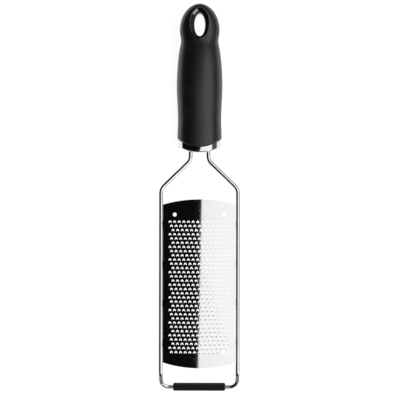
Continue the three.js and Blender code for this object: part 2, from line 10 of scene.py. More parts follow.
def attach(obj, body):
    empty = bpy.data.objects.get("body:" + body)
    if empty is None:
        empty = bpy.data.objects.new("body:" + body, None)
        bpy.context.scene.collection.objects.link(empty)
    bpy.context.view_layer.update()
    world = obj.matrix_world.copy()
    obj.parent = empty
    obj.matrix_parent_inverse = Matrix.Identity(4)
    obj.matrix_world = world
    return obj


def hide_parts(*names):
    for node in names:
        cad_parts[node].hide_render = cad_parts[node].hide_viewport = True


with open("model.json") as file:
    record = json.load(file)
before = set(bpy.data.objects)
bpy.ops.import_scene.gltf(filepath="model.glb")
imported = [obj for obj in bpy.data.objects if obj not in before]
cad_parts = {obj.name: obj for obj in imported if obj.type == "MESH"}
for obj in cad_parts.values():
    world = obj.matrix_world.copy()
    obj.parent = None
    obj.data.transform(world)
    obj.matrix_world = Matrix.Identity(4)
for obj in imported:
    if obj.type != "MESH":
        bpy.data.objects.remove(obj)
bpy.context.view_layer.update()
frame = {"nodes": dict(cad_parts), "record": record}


# Wire frame
# One 4 mm stainless wire, drawn, polished, and bent into two tangs, two shoulders, two legs and an end bar.
# The tangs are held in the handle, and the toe, with the bar, is turned down below the blade.
MM = 0.001
ROD_RADIUS = 2.0
LEG_AXIS = 31.2
TANG_AXIS = 7.25
BAR_AXIS = 2.9
SHOULDER_LEVEL = 165.32
NECK_LEVEL = 188.448
TANG_END = 252.494
TOE_LEVEL, TOE_BEND, TOE_TURN = 17.06, 8.0, math.radians(25)
NECK_BEND, SHOULDER_BEND, BAR_BEND = 8.0, 9.0, 6.6


def turned_down(point):
    """Where the turned-down toe takes a point of it that was drawn straight."""
    beyond = TOE_LEVEL - point[1] - TOE_BEND * TOE_TURN
    reach = TOE_BEND + point[2]
    return Vector((point[0], TOE_LEVEL - reach * math.sin(TOE_TURN) - beyond * math.cos(TOE_TURN),
                   reach * math.cos(TOE_TURN) - TOE_BEND - beyond * math.sin(TOE_TURN)))


# Pieces are drawn straight, in millimetres: x across, y from the foot's sole up to the handle, and z out
# of the cutting face. The place of the turned-down sole in the frame then lays them down.
sole = frame["record"]["mounts"][0]
lean = math.atan2(-sole["axis"][2], -sole["axis"][1]) - TOE_TURN
LAID = (Matrix.Translation((0, *sole["pos_m"][1:])) @ Matrix.Rotation(lean, 4, "X") @ Matrix.Scale(MM, 4)
        @ Matrix.Translation(-turned_down((0, 0, 0))))


def new_tree(kind, name, inputs, outputs):
    """A node group with its named sockets, and what it is given and gives back."""
    tree = bpy.data.node_groups.new(name, kind)
    for in_out, sockets in (("INPUT", inputs), ("OUTPUT", outputs)):
        for label, socket in sockets.items():
            tree.interface.new_socket(label, in_out=in_out, socket_type="NodeSocket" + socket)
    return tree, tree.nodes.new("NodeGroupInput").outputs, tree.nodes.new("NodeGroupOutput").inputs


def add(tree, kind, inputs=None, **settings):
    """A node with its settings, and each input a plain value or what another node puts out."""
    node = tree.nodes.new(kind)
    for name, value in settings.items():
        setattr(node, name, value)
    for name, value in (inputs or {}).items():
        if isinstance(value, bpy.types.Node):
            value = value.outputs[0]
        if isinstance(value, bpy.types.NodeSocket):
            tree.links.new(value, node.inputs[name])
        else:
            node.inputs[name].default_value = value
    return node


def reckon(tree, operation, *values):
    return add(tree, "ShaderNodeMath", dict(enumerate(values)), operation=operation)


def grown(tree, start, sizes, wall=0):
    """The plain mesh that a tree grows from a starting mesh, with a wall's thickness where it needs one."""
    stand_in = bpy.data.objects.new("stand_in", start)
    bpy.context.scene.collection.objects.link(stand_in)
    growth = stand_in.modifiers.new("growth", "NODES")
    growth.node_group = tree
    for socket in tree.interface.items_tree:
        if socket.in_out == "INPUT" and socket.name in sizes:
            growth[socket.identifier] = sizes[socket.name]
    if wall:
        solid = stand_in.modifiers.new("wall", "SOLIDIFY")
        solid.thickness = wall
        solid.offset = 0
    mesh = bpy.data.meshes.new_from_object(stand_in.evaluated_get(bpy.context.evaluated_depsgraph_get()))
    bpy.data.objects.remove(stand_in)
    return mesh


def lay(name, mesh, material=None, crease=35):
    """A drawn piece in its place in the frame, smooth but for edges sharper than the crease."""
    mesh.transform(LAID)
    mesh.shade_smooth()
    mesh.set_sharp_from_angle(angle=math.radians(crease))
    if material:
        mesh.materials.clear()
        mesh.materials.append(material)
    piece = bpy.data.objects.new(name, mesh)
    bpy.context.scene.collection.objects.link(piece)
    return piece


# Steel: lines left by drawing, rolling or polishing, and the cloudy film of handling over them.
worked_steel, given, result = new_tree(
    "ShaderNodeTree", "worked_steel",
    {"Line Scale": "Vector", "Line Depth": "Float", "Film Depth": "Float", "Roughness": "Float",
     "Bright": "Color", "Dull": "Color"},
    {"Color": "Color", "Roughness": "Float", "Height": "Float"})
place = add(worked_steel, "ShaderNodeTexCoord").outputs["Object"]
stretched = add(worked_steel, "ShaderNodeVectorMath", {0: place, 1: given["Line Scale"]},
                operation="MULTIPLY")
lines = add(worked_steel, "ShaderNodeTexNoise", {"Vector": stretched, "Scale": 1.0, "Detail": 3.0})
film = add(worked_steel, "ShaderNodeTexNoise", {"Vector": place, "Scale": 70.0, "Detail": 4.0})
lined = reckon(worked_steel, "MULTIPLY_ADD", lines, given["Line Depth"], given["Roughness"])
filmed = reckon(worked_steel, "MULTIPLY_ADD", film, given["Film Depth"], lined)
tone = add(worked_steel, "ShaderNodeMix", {0: film, 6: given["Bright"], 7: given["Dull"]}, data_type="RGBA")
worked_steel.links.new(tone.outputs[2], result["Color"])
worked_steel.links.new(filmed.outputs[0], result["Roughness"])
worked_steel.links.new(lines.outputs[0], result["Height"])


def surface(name, finish, values, relief, **sockets):
    """A material whose colour, roughness and fine relief come from a finish, with its own plain sockets."""
    material = bpy.data.materials.new(name)
    material.use_nodes = True
    tree = material.node_tree
    shader = tree.nodes["Principled BSDF"]
    for label, value in sockets.items():
        shader.inputs[label.replace("_", " ")].default_value = value
    skin = add(tree, "ShaderNodeGroup", node_tree=finish)
    for label, value in values.items():
        skin.inputs[label].default_value = value
    bump = add(tree, "ShaderNodeBump", {"Strength": relief[0], "Distance": relief[1] * MM,
                                        "Height": skin.outputs["Height"]})
    for label, source in (("Base Color", skin.outputs["Color"]), ("Roughness", skin.outputs["Roughness"]),
                          ("Normal", bump.outputs[0])):
        tree.links.new(source, shader.inputs[label])
    return material


drawn_wire = surface(
    "drawn_wire", worked_steel,
    {"Line Scale": (9000, 120, 9000), "Line Depth": 0.05, "Film Depth": 0.06, "Roughness": 0.06,
     "Bright": (0.92, 0.92, 0.92, 1), "Dull": (0.86, 0.86, 0.86, 1)},
    relief=(0.03, 0.01), Metallic=1.0)

bent_wire, given, result = new_tree(
    "GeometryNodeTree", "bent_wire",
    {"Corners": "Geometry", "Rod Radius": "Float", "Sides": "Int", "Bend Steps": "Int"},
    {"Geometry": "Geometry"})
bend_radius = add(bent_wire, "GeometryNodeInputNamedAttribute", {"Name": "bend_radius"}, data_type="FLOAT")
corners = add(bent_wire, "GeometryNodeMeshToCurve", {"Mesh": given["Corners"]})
bent = add(bent_wire, "GeometryNodeFilletCurve",
           {"Curve": corners, "Count": given["Bend Steps"], "Radius": bend_radius}, mode="POLY")
rod = add(bent_wire, "GeometryNodeCurvePrimitiveCircle",
          {"Resolution": given["Sides"], "Radius": given["Rod Radius"]})
swept = add(bent_wire, "GeometryNodeCurveToMesh", {"Curve": bent, "Profile Curve": rod, "Fill Caps": True})
realized = add(bent_wire, "GeometryNodeRealizeInstances", {"Geometry": swept})
finished = add(bent_wire, "GeometryNodeSetMaterial", {"Geometry": realized, "Material": drawn_wire})
bent_wire.links.new(finished.outputs[0], result["Geometry"])

toe_corner = TOE_LEVEL - TOE_BEND * math.tan(TOE_TURN / 2)
half_wire = [((TANG_AXIS, TANG_END, 0), 0.0), ((TANG_AXIS, NECK_LEVEL, 0), NECK_BEND),
             ((LEG_AXIS, SHOULDER_LEVEL, 0), SHOULDER_BEND), ((LEG_AXIS, toe_corner, 0), TOE_BEND),
             (turned_down((LEG_AXIS, BAR_AXIS, 0)), BAR_BEND)]
wire_corners = half_wire + [((-x, y, z), radius) for (x, y, z), radius in reversed(half_wire)]
wire_path = bpy.data.meshes.new("wire_path")
wire_path.from_pydata([corner for corner, _ in wire_corners],
                      [(i, i + 1) for i in range(len(wire_corners) - 1)], [])
wire_path.attributes.new("bend_radius", "FLOAT", "POINT").data.foreach_set(
    "value", [radius for _, radius in wire_corners])
wire_mesh = grown(bent_wire, wire_path, {"Rod Radius": ROD_RADIUS, "Sides": 32, "Bend Steps": 18})
wire_frame = lay("wire_frame", wire_mesh, crease=60)
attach(wire_frame, "root")
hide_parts("frame_rod")


# Blade
# Thin stainless sheet, etched through in staggered rows of horseshoes and rolled to a shallow arch.
# The tongue in each horseshoe is raised into a tooth, and the long edges are welded along the legs.
BLANK_HALF = 30.02
BLADE_THICKNESS = 0.4
ARCH_RADIUS = 99.39
CROWN_HEIGHT = 6.1
LOWER_CORNER, LOWER_BOW = 24.52, -4.2
UPPER_CORNER, UPPER_BOW = 152.55, 4.25
ROWS, ROW_PITCH = 32, 3.404
COLUMNS, COLUMN_PITCH = 13, 3.78
THIRD = COLUMN_PITCH / 3
LOWEST_ROW = 33.15
OPENING_HALF, OPENING_HEIGHT = 1.13, 1.93
OPENING_POWER = 0.62
OPENING_TURNS = (0, 14, 32, 52, 72, 90, 108, 128, 148, 166, 180)
TONGUE_REACH, TONGUE_RISE, TIP_RISE = 0.92, 0.16, 0.14
TONGUE_TAPER, TONGUE_CURL, TIP_POWER = 1.4, 0.15, 8
TONGUE_FOLDS = (0, 0.3, 0.62, 1)
MERGE_GAP = 0.02
LOCATING_HOLE = 20.04
LOCATING_RADIUS = 1.6
LOCATING_ROW = 144.474
HOLE_CELLS = 4

rolled_sheet = surface(
    "rolled_sheet", worked_steel,
    {"Line Scale": (7000, 90, 7000), "Line Depth": 0.03, "Film Depth": 0.05, "Roughness": 0.04,
     "Bright": (0.80, 0.80, 0.80, 1), "Dull": (0.74, 0.74, 0.74, 1)},
    relief=(0.02, 0.01), Metallic=1.0)


def fill_round_hole(sheet, outline, hole):
    """Sheet between an outline and the edge of a hole in it, both given anticlockwise."""
    edges = []
    for loop in (outline, hole):
        corners = [sheet.verts.new(corner) for corner in loop]
        edges += [sheet.edges.new(pair) for pair in zip(corners, corners[1:] + corners[:1])]
    bmesh.ops.triangle_fill(sheet, use_beauty=True, edges=edges, normal=(0, 0, 1))


def patch_outline(cells, middle_u, middle_v):
    """The edge of a patch of sheet one row high, with a corner at every third of a tooth's pitch."""
    u = [middle_u + (step - cells / 2) * THIRD for step in range(cells + 1)]
    low, high = middle_v - ROW_PITCH / 2, middle_v + ROW_PITCH / 2
    return ([(x, low, 0) for x in u] + [(u[-1], middle_v, 0)] + [(x, high, 0) for x in reversed(u)]
            + [(u[0], middle_v, 0)])


def sheet_mesh(name, sheet):
    for face in sheet.faces:
        face.normal_update()
        if face.normal.z < 0:
            face.normal_flip()
    mesh = bpy.data.meshes.new(name)
    sheet.to_mesh(mesh)
    sheet.free()
    return mesh


# One tooth: a round-topped opening, with a hollow-edged tongue that rises from its foot to a hooked tip.
tooth_cell = bmesh.new()
arch_edge = [(OPENING_HALF * math.cos(math.radians(turn)),
              OPENING_HEIGHT * (math.sin(math.radians(turn)) ** OPENING_POWER - 0.5), 0)
             for turn in OPENING_TURNS]
fill_round_hole(tooth_cell, patch_outline(3, 0, 0), arch_edge)
folds = []
for share in TONGUE_FOLDS:
    half = OPENING_HALF * (1 - share) ** TONGUE_TAPER
    curl = (1 - TONGUE_CURL) * share + TONGUE_CURL * share ** 2
    rise = TONGUE_RISE * curl + TIP_RISE * share ** TIP_POWER
    folds.append([tooth_cell.verts.new((x, TONGUE_REACH * share - OPENING_HEIGHT / 2, rise))
                  for x in ((-half, half) if half else (0,))])
for below, above in zip(folds, folds[1:]):
    tooth_cell.faces.new(below + above[::-1])
tooth = bpy.data.objects.new("tooth_cell", sheet_mesh("tooth_cell", tooth_cell))
bpy.context.scene.collection.objects.link(tooth)

# The plain sheet round the teeth, in courses from the lower edge to the upper, with three locating holes.
cells_out = int(BLANK_HALF / THIRD)
uprights = [-BLANK_HALF] + [(step + 0.5) * THIRD for step in range(-cells_out, cells_out)] + [BLANK_HALF]
field_bottom = LOWEST_ROW - ROW_PITCH / 2
field_top = field_bottom + ROWS * ROW_PITCH
hole_bottom, hole_top = LOCATING_ROW - ROW_PITCH / 2, LOCATING_ROW + ROW_PITCH / 2
courses = [(LOWER_CORNER + (field_bottom - LOWER_CORNER) * step / 3, LOWER_BOW * (1 - step / 3))
           for step in range(3)]
courses += [(field_bottom + step * ROW_PITCH / 2, 0) for step in range(2 * ROWS + 1)]
courses += [(hole_bottom, 0), (LOCATING_ROW, 0), (hole_top, 0)]
courses += [(hole_top + (UPPER_CORNER - hole_top) * step / 3, UPPER_BOW * step / 3) for step in range(1, 4)]
patch_middle = (math.floor(LOCATING_HOLE / THIRD) + 0.5) * THIRD
plain_sheet = bmesh.new()


def is_plain(u, v):
    """Whether a place on the blank is left to the plain sheet by the teeth and the patches with holes."""
    in_patch = abs(abs(u) - patch_middle) < HOLE_CELLS / 2 * THIRD
    if hole_bottom < v < hole_top:
        return not in_patch
    if not field_bottom < v < field_top:
        return True
    row = round((v - LOWEST_ROW) / ROW_PITCH)
    shift = ((ROWS - 1 - row) % 3 - 1) * THIRD
    if row == 0 and u > patch_middle - HOLE_CELLS / 2 * THIRD:
        return not in_patch
    return abs(u - shift) > COLUMNS * COLUMN_PITCH / 2


for (low, low_bow), (high, high_bow) in zip(courses, courses[1:]):
    for left, right in zip(uprights, uprights[1:]):
        if is_plain((left + right) / 2, (low + high) / 2):
            corners = ((left, low, low_bow), (right, low, low_bow),
                       (right, high, high_bow), (left, high, high_bow))
            plain_sheet.faces.new([plain_sheet.verts.new((u, level + bow * (1 - (u / BLANK_HALF) ** 2), 0))
                                   for u, level, bow in corners])
for side, level in ((-1, LOCATING_ROW), (1, LOCATING_ROW), (1, LOWEST_ROW)):
    rim = [(side * LOCATING_HOLE + LOCATING_RADIUS * math.cos(turn * math.pi / 12),
            level + LOCATING_RADIUS * math.sin(turn * math.pi / 12), 0) for turn in range(24)]
    fill_round_hole(plain_sheet, patch_outline(HOLE_CELLS, side * patch_middle, level), rim)

toothed_blade, given, result = new_tree(
    "GeometryNodeTree", "toothed_blade",
    {"Plain Sheet": "Geometry", "Tooth": "Object", "Rows": "Int", "Columns": "Int", "Row Pitch": "Float",
     "Column Pitch": "Float", "Middle of Rows": "Float", "Locating Hole": "Float", "Arch Radius": "Float",
     "Crown Height": "Float"},
    {"Geometry": "Geometry"})
row_gaps = reckon(toothed_blade, "SUBTRACT", given["Rows"], 1)
column_gaps = reckon(toothed_blade, "SUBTRACT", given["Columns"], 1)
grid = add(toothed_blade, "GeometryNodeMeshGrid",
           {"Size X": reckon(toothed_blade, "MULTIPLY", column_gaps, given["Column Pitch"]),
            "Size Y": reckon(toothed_blade, "MULTIPLY", row_gaps, given["Row Pitch"]),
            "Vertices X": given["Columns"], "Vertices Y": given["Rows"]})
spot = add(toothed_blade, "ShaderNodeSeparateXYZ", {0: add(toothed_blade, "GeometryNodeInputPosition")})
above_middle = reckon(toothed_blade, "DIVIDE", spot.outputs["Y"], given["Row Pitch"])
half_rows = reckon(toothed_blade, "MULTIPLY", row_gaps, 0.5)
from_top = reckon(toothed_blade, "ROUND", reckon(toothed_blade, "SUBTRACT", half_rows, above_middle))
in_lowest = reckon(toothed_blade, "GREATER_THAN", from_top,
                   reckon(toothed_blade, "SUBTRACT", row_gaps, 0.5))
to_hole = reckon(toothed_blade, "ABSOLUTE",
                 reckon(toothed_blade, "SUBTRACT", spot.outputs["X"], given["Locating Hole"]))
at_hole = reckon(toothed_blade, "LESS_THAN", to_hole, given["Column Pitch"])
kept = add(toothed_blade, "GeometryNodeDeleteGeometry",
           {"Geometry": grid, "Selection": reckon(toothed_blade, "MULTIPLY", in_lowest, at_hole)})
thirds = reckon(toothed_blade, "SUBTRACT", reckon(toothed_blade, "MODULO", from_top, 3), 1)
stagger = reckon(toothed_blade, "DIVIDE",
                 reckon(toothed_blade, "MULTIPLY", thirds, given["Column Pitch"]), 3)
offset = add(toothed_blade, "ShaderNodeCombineXYZ", {"X": stagger, "Y": given["Middle of Rows"]})
staggered = add(toothed_blade, "GeometryNodeSetPosition", {"Geometry": kept, "Offset": offset})
tooth_shape = add(toothed_blade, "GeometryNodeObjectInfo", {"Object": given["Tooth"]})
teeth = add(toothed_blade, "GeometryNodeInstanceOnPoints",
            {"Points": staggered, "Instance": tooth_shape.outputs["Geometry"]})
realized = add(toothed_blade, "GeometryNodeRealizeInstances", {"Geometry": teeth})
joined = add(toothed_blade, "GeometryNodeJoinGeometry", {"Geometry": realized})
toothed_blade.links.new(given["Plain Sheet"], joined.inputs[0])
whole = add(toothed_blade, "GeometryNodeMergeByDistance", {"Geometry": joined, "Distance": MERGE_GAP})
flat = add(toothed_blade, "ShaderNodeSeparateXYZ", {0: add(toothed_blade, "GeometryNodeInputPosition")})
angle = reckon(toothed_blade, "DIVIDE", flat.outputs["X"], given["Arch Radius"])
reach = reckon(toothed_blade, "ADD", flat.outputs["Z"], given["Arch Radius"])
dip = reckon(toothed_blade, "SUBTRACT", given["Crown Height"], given["Arch Radius"])
rolled = add(toothed_blade, "GeometryNodeSetPosition", {
    "Geometry": whole,
    "Position": add(toothed_blade, "ShaderNodeCombineXYZ", {
        "X": reckon(toothed_blade, "MULTIPLY", reach, reckon(toothed_blade, "SINE", angle)),
        "Y": flat.outputs["Y"],
        "Z": reckon(toothed_blade, "MULTIPLY_ADD", reach, reckon(toothed_blade, "COSINE", angle), dip)})})
finished = add(toothed_blade, "GeometryNodeSetMaterial", {"Geometry": rolled, "Material": rolled_sheet})
toothed_blade.links.new(finished.outputs[0], result["Geometry"])

blade_sizes = {"Tooth": tooth, "Rows": ROWS, "Columns": COLUMNS, "Row Pitch": ROW_PITCH,
               "Column Pitch": COLUMN_PITCH, "Middle of Rows": LOWEST_ROW + (ROWS - 1) * ROW_PITCH / 2,
               "Locating Hole": LOCATING_HOLE, "Arch Radius": ARCH_RADIUS, "Crown Height": CROWN_HEIGHT}
blade_mesh = grown(toothed_blade, sheet_mesh("plain_sheet", plain_sheet), blade_sizes, wall=BLADE_THICKNESS)
bpy.data.objects.remove(tooth)
toothed_sheet = lay("toothed_sheet", blade_mesh, crease=6)
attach(toothed_sheet, "root")
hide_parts("blade")


# Weld beads
# Four short beads on each side fuse the underside of the blade's edge to the inner flank of a leg.
# They are laid by hand with a fine torch, so each is a row of overlapping ripples with rounded ends.
BEAD_LENGTH = 6.0
BEAD_LEG = 1.3
BEAD_CROWN = 0.25
BEADS_PER_LEG = 4
RIPPLES, RIPPLE_STEPS = 7, 8
VALLEY, RIDGE = 0.7, 0.9
END_POWER, END_SHARE = 6, 0.02
FUSION_GAP = 0.1

torch_weld = surface(
    "torch_weld", worked_steel,
    {"Line Scale": (2500, 2500, 2500), "Line Depth": 0.25, "Film Depth": 0.2, "Roughness": 0.18,
     "Bright": (0.66, 0.63, 0.58, 1), "Dull": (0.40, 0.38, 0.42, 1)},
    relief=(0.2, 0.05), Metallic=1.0)


def loft(rings, closed=False):
    """A smooth body through rings of points: a tube joined end to end, or capped by its end rings."""
    body = bmesh.new()
    rows = [[body.verts.new(point) for point in ring] for ring in rings]
    for row, following in zip(rows, rows[1:] + rows[:1] if closed else rows[1:]):
        for side in range(len(row)):
            body.faces.new((row[side - 1], row[side], following[side], following[side - 1]))
    if not closed:
        for end in (rows[0], rows[-1]):
            body.faces.new(end)
    bmesh.ops.remove_doubles(body, verts=body.verts, dist=1e-4)
    bmesh.ops.recalc_face_normals(body, faces=body.faces)
    if body.calc_volume(signed=True) < 0:
        bmesh.ops.reverse_faces(body, faces=body.faces)
    mesh = bpy.data.meshes.new("loft")
    body.to_mesh(mesh)
    body.free()
    return mesh


def under_blade(u):
    radius = ARCH_RADIUS - BLADE_THICKNESS / 2 - FUSION_GAP
    return Vector((radius * math.sin(u / ARCH_RADIUS),
                   CROWN_HEIGHT - ARCH_RADIUS + radius * math.cos(u / ARCH_RADIUS)))


def on_leg(turn):
    radius = ROD_RADIUS + FUSION_GAP
    return Vector((LEG_AXIS - radius * math.cos(turn), -radius * math.sin(turn)))


blade_toe, root = under_blade(BLANK_HALF - BEAD_LEG), under_blade(BLANK_HALF)
first_turn = math.asin(-root.y / (ROD_RADIUS + FUSION_GAP))
last_turn = first_turn + BEAD_LEG / (ROD_RADIUS + FUSION_GAP)
leg_toe = on_leg(last_turn)
across = (leg_toe - blade_toe).normalized()
outward = Vector((across.y, -across.x))
bead_rings = []
for step in range(RIPPLE_STEPS * RIPPLES + 1):
    share = step / (RIPPLE_STEPS * RIPPLES)
    taper = max(1 - abs(2 * share - 1) ** END_POWER, END_SHARE) ** 0.5
    swell = BEAD_CROWN * (VALLEY + RIDGE * abs(math.sin(math.pi * RIPPLES * share)))
    flank = [on_leg(first_turn + (last_turn - first_turn) * turn / 4) for turn in range(5)]
    crown = [leg_toe.lerp(blade_toe, turn / 8) + outward * swell * math.sin(math.pi * turn / 8)
             for turn in range(1, 9)]
    ring = [root.lerp(point, taper) for point in [root, *flank, *crown]]
    bead_rings.append([(point.x, BEAD_LENGTH * (share - 0.5), point.y) for point in ring])

weld_row, given, result = new_tree(
    "GeometryNodeTree", "weld_row",
    {"Bead": "Geometry", "Beads": "Int", "First": "Vector", "Spacing": "Vector"}, {"Geometry": "Geometry"})
stops = add(weld_row, "GeometryNodeMeshLine",
            {"Count": given["Beads"], "Start Location": given["First"], "Offset": given["Spacing"]})
beads = add(weld_row, "GeometryNodeInstanceOnPoints", {"Points": stops, "Instance": given["Bead"]})
right_side = add(weld_row, "GeometryNodeRealizeInstances", {"Geometry": beads})
opposite = add(weld_row, "GeometryNodeTransform", {"Geometry": right_side, "Scale": (-1, 1, 1)})
left_side = add(weld_row, "GeometryNodeFlipFaces", {"Mesh": opposite})
both = add(weld_row, "GeometryNodeJoinGeometry", {"Geometry": right_side})
weld_row.links.new(left_side.outputs[0], both.inputs[0])
finished = add(weld_row, "GeometryNodeSetMaterial", {"Geometry": both, "Material": torch_weld})
weld_row.links.new(finished.outputs[0], result["Geometry"])

bead_pitch = (UPPER_CORNER - LOWER_CORNER) / BEADS_PER_LEG
weld_mesh = grown(weld_row, loft(bead_rings),
                  {"Beads": BEADS_PER_LEG, "First": (0, LOWER_CORNER + bead_pitch / 2, 0),
                   "Spacing": (0, bead_pitch, 0)})
weld_beads = lay("weld_beads", weld_mesh, crease=60)
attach(weld_beads, "root")
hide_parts(*(f"weld_{side}_{bead + 1}" for side in ("left", "right")
                          for bead in range(BEADS_PER_LEG)))


# Foot
# A moulded rubber sleeve pushed over the end bar before the wire was closed, so it needs no fixing.
# Its sole is flat, to rest on a board without slipping, and its other edges are rounded.
FOOT_LENGTH = 42.4
FOOT_HEIGHT = 5.8
FOOT_HALF_DEPTH = 3.0
FOOT_EDGE = 2.1
FOOT_END = 1.1
FOOT_BORE, BORE_CHAMFER = 2.1, 0.3
EDGE_STEPS, END_STEPS = 8, 6

# Rubber and plastic: the fine grain of the mould, and paler scuffs where hands and boards have rubbed it.
moulded_skin, given, result = new_tree(
    "ShaderNodeTree", "moulded_skin",
    {"Grain Scale": "Float", "Fresh": "Color", "Scuffed": "Color", "Roughness": "Float",
     "Scuff Polish": "Float"},
    {"Color": "Color", "Roughness": "Float", "Height": "Float"})
place = add(moulded_skin, "ShaderNodeTexCoord").outputs["Object"]
grain = add(moulded_skin, "ShaderNodeTexNoise",
            {"Vector": place, "Scale": given["Grain Scale"], "Detail": 2.0})
rubbed = add(moulded_skin, "ShaderNodeTexNoise",
             {"Vector": place, "Scale": 55.0, "Detail": 6.0, "Roughness": 0.65})
scuff = add(moulded_skin, "ShaderNodeMapRange", {"Value": rubbed, "From Min": 0.42, "From Max": 0.75},
            interpolation_type="SMOOTHSTEP")
tone = add(moulded_skin, "ShaderNodeMix", {0: scuff, 6: given["Fresh"], 7: given["Scuffed"]},
           data_type="RGBA")
polished = reckon(moulded_skin, "MULTIPLY_ADD", scuff, given["Scuff Polish"], given["Roughness"])
moulded_skin.links.new(tone.outputs[2], result["Color"])
moulded_skin.links.new(polished.outputs[0], result["Roughness"])
moulded_skin.links.new(grain.outputs[0], result["Height"])

foot_rubber = surface(
    "foot_rubber", moulded_skin,
    {"Grain Scale": 3500.0, "Fresh": (0.005, 0.005, 0.005, 1), "Scuffed": (0.010, 0.010, 0.0095, 1),
     "Roughness": 0.66, "Scuff Polish": 0.10},
    relief=(0.3, 0.04), Specular_IOR_Level=0.3)


def foot_section(x, inset):
    """The sleeve's rounded section at a place along it, drawn in all round by an inset."""
    points = []
    for corner, (sy, sz) in enumerate(((1, 1), (-1, 1), (-1, -1), (1, -1))):
        centre = Vector((sy * (FOOT_HEIGHT / 2 - FOOT_EDGE), sz * (FOOT_HALF_DEPTH - FOOT_EDGE)))
        for step in range(EDGE_STEPS + 1):
            turn = math.radians(90 * corner + 90 * step / EDGE_STEPS)
            spot = centre + (FOOT_EDGE - inset) * Vector((math.cos(turn), math.sin(turn)))
            points.append(turned_down((x, FOOT_HEIGHT / 2 + spot.x, spot.y)))
    return points


def foot_bore(x, radius):
    turns = [math.radians(90 * corner + 90 * step / EDGE_STEPS)
             for corner in range(4) for step in range(EDGE_STEPS + 1)]
    return [turned_down((x, BAR_AXIS + radius * math.cos(turn), radius * math.sin(turn))) for turn in turns]


rounding = [math.radians(90 * step / END_STEPS) for step in range(END_STEPS + 1)]
right_end = [(FOOT_LENGTH / 2 - FOOT_END * (1 - math.sin(turn)), FOOT_END * (1 - math.cos(turn)))
             for turn in rounding]
left_end = [(-x, inset) for x, inset in reversed(right_end)]
foot_rings = [foot_bore(BORE_CHAMFER - FOOT_LENGTH / 2, FOOT_BORE),
              foot_bore(-FOOT_LENGTH / 2, FOOT_BORE + BORE_CHAMFER)]
foot_rings += [foot_section(x, inset) for x, inset in left_end + right_end]
foot_rings += [foot_bore(FOOT_LENGTH / 2, FOOT_BORE + BORE_CHAMFER),
               foot_bore(FOOT_LENGTH / 2 - BORE_CHAMFER, FOOT_BORE)]
rubber_foot = lay("rubber_foot", loft(foot_rings, closed=True), foot_rubber)
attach(rubber_foot, "root")
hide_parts("foot")


# Handle core
# A stiff moulded plastic core with a socket for each tang, pressed on hot so that the wire can't turn.
# The collar and the grip hide all of it.
core_plastic = surface(
    "core_plastic", moulded_skin,
    {"Grain Scale": 1800.0, "Fresh": (0.016, 0.016, 0.018, 1), "Scuffed": (0.028, 0.028, 0.030, 1),
     "Roughness": 0.45, "Scuff Polish": 0.1},
    relief=(0.2, 0.05))
core = frame["nodes"]["handle_core"]
core.data.materials.clear()
core.data.materials.append(core_plastic)


# Collar
# A pressed stainless cap, buffed bright, that closes the handle's end round the two tangs.
# Its underside is bowed, with a rounded edge, and its wall runs up just inside the edge of the grip.
COLLAR_TIP = 194.494
COLLAR_FLOOR = 198.894
COLLAR_HALF = (17.35, 13.1)
COLLAR_BOW = 4.1
COLLAR_EDGE = 1.2
CORE_INSET = 1.8
RIM_GAP, RIM_CHAMFER = 0.1, 0.2
TANG_BORE, BORE_OVERRUN = 2.1, 3
JOINT_MIDDLE, JOINT_BOW, JOINT_HALF = 199.194, 6.7, 18.05
SECTION_POWER = 2.3
SIDES = 96

buffed_cap = surface(
    "buffed_cap", worked_steel,
    {"Line Scale": (1500, 3000, 1500), "Line Depth": 0.03, "Film Depth": 0.05, "Roughness": 0.05,
     "Bright": (0.80, 0.80, 0.80, 1), "Dull": (0.72, 0.72, 0.73, 1)},
    relief=(0.03, 0.01), Metallic=1.0)


def rounded(value):
    return math.copysign(abs(value) ** (2 / SECTION_POWER), value)


def section(half_width, half_depth, level):
    """A squarish oval round the handle, at a level that may change across it."""
    ring = []
    for side in range(SIDES):
        turn = 2 * math.pi * side / SIDES
        x = half_width * rounded(math.cos(turn))
        ring.append((x, level(x), half_depth * rounded(math.sin(turn))))
    return ring


def underside(rise):
    return lambda x: COLLAR_TIP + rise + COLLAR_BOW * (x / COLLAR_HALF[0]) ** 2


def joint(rise):
    return lambda x: JOINT_MIDDLE + rise + JOINT_BOW * (x / JOINT_HALF) ** 2


def trimmed(mesh, *tools):
    """A body with each tool's shape cut out of it."""
    body = bpy.data.objects.new("body", mesh)
    helpers = [bpy.data.objects.new("tool", tool) for tool in tools]
    for item in (body, *helpers):
        bpy.context.scene.collection.objects.link(item)
    for helper in helpers:
        cut = body.modifiers.new("cut", "BOOLEAN")
        cut.object = helper
        cut.solver = "EXACT"
    made = bpy.data.meshes.new_from_object(body.evaluated_get(bpy.context.evaluated_depsgraph_get()))
    for item in (body, *helpers):
        bpy.data.objects.remove(item)
    trim = bmesh.new()
    trim.from_mesh(made)
    bmesh.ops.triangulate(trim, faces=trim.faces)
    bmesh.ops.dissolve_degenerate(trim, dist=MERGE_GAP, edges=trim.edges)
    trim.to_mesh(made)
    trim.free()
    return made


